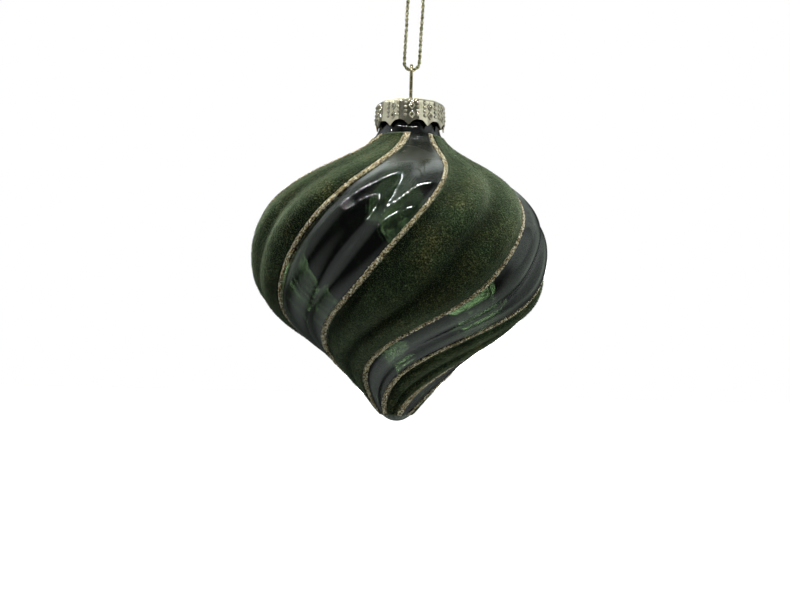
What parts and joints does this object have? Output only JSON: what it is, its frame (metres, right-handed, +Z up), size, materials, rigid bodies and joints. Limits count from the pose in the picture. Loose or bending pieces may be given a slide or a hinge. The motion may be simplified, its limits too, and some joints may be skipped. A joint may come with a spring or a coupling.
{
  "type": "glass bauble",
  "caption": "Hollow spiral-ribbed glass bauble with flocked bands, glitter lines, a crown cap that pulls off and a hanging cord.",
  "frame": {"origin": "hang point of the cord, where its two strands meet under the knot", "axes": "+Z up, the way the cord hangs; -Y towards the pictured side; +X to that side's right"},
  "size_m": [0.0789, 0.079, 0.1315],
  "materials": {
    "dark_glass": "gloss, clear glass lacquered dark green; the far bands show through it",
    "green_flock": "matt, short velvet flock",
    "gold_glitter": "coarse champagne gold glitter in clear glue",
    "cap_metal": "bright embossed champagne sheet metal",
    "wire_metal": "bright brass-coloured spring wire",
    "gold_cord": "twisted metallic gold thread"
  },
  "bodies": {
    "cord": {"cord_loop": "gold_cord", "cord_knot": "gold_cord"},
    "hanger": {"hanger_wire": "wire_metal"},
    "cap": {"crown_cap": "cap_metal"},
    "glass": {"glass_body": "dark_glass", "flock_band_1": "green_flock", "flock_band_2": "green_flock", "flock_band_3": "green_flock", "flock_band_4": "green_flock", "glitter_line_1": "gold_glitter", "glitter_line_2": "gold_glitter", "glitter_line_3": "gold_glitter", "glitter_line_4": "gold_glitter", "glitter_line_5": "gold_glitter", "glitter_line_6": "gold_glitter", "glitter_line_7": "gold_glitter", "glitter_line_8": "gold_glitter"}
  },
  "joints": [
    {"name": "hanger_swing", "type": "hinge", "parent": "cord", "child": "hanger", "pos_m": [-0.001, 0, -0.027], "axis": [1, 0, 0], "range_deg": [-90, 90]},
    {"name": "cap_turn", "type": "hinge", "parent": "hanger", "child": "cap", "pos_m": [-0.001, 0, -0.0364], "axis": [0, 0, 1], "continuous": true},
    {"name": "glass_pull", "type": "slide", "parent": "cap", "child": "glass", "axis": [0, 0, -1], "range_m": [0, 0.03]}
  ]
}
